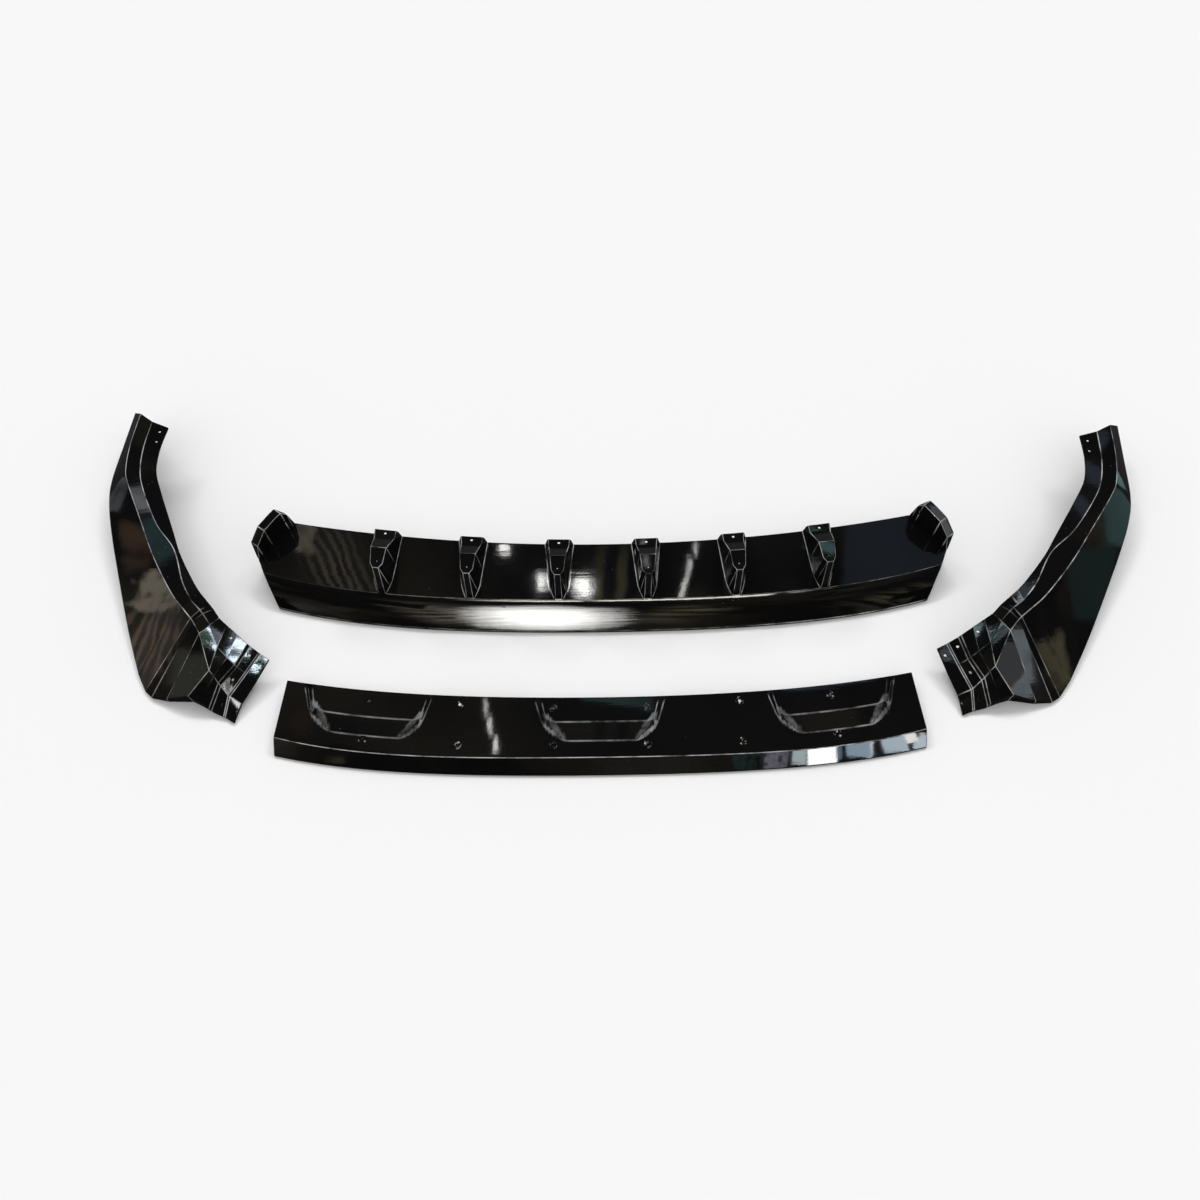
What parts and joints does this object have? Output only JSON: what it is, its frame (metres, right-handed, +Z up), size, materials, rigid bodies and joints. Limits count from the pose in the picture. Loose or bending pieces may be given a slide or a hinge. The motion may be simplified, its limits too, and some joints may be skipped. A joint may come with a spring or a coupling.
{
  "type": "front splitter lip",
  "caption": "Front splitter lip in glossy black moulded panels laid out flat: a bowed centre splitter with raised fins, a lower plate with shallow pockets, and hooked corner panels.",
  "frame": {"origin": "middle of the laid-out set on the ground, at the bottom of its bounding box", "axes": "+X along the set from the left corner panel to the right one as seen from the front, +Y to the rear of the panels, +Z up"},
  "size_m": [1.8006, 0.678, 0.093],
  "materials": {
    "gloss_black_plastic": "high gloss moulded plastic"
  },
  "bodies": {
    "root": {"upper_centre_splitter": "gloss_black_plastic", "lower_centre_plate": "gloss_black_plastic", "left_corner": "gloss_black_plastic", "right_corner": "gloss_black_plastic"}
  },
  "joints": []
}
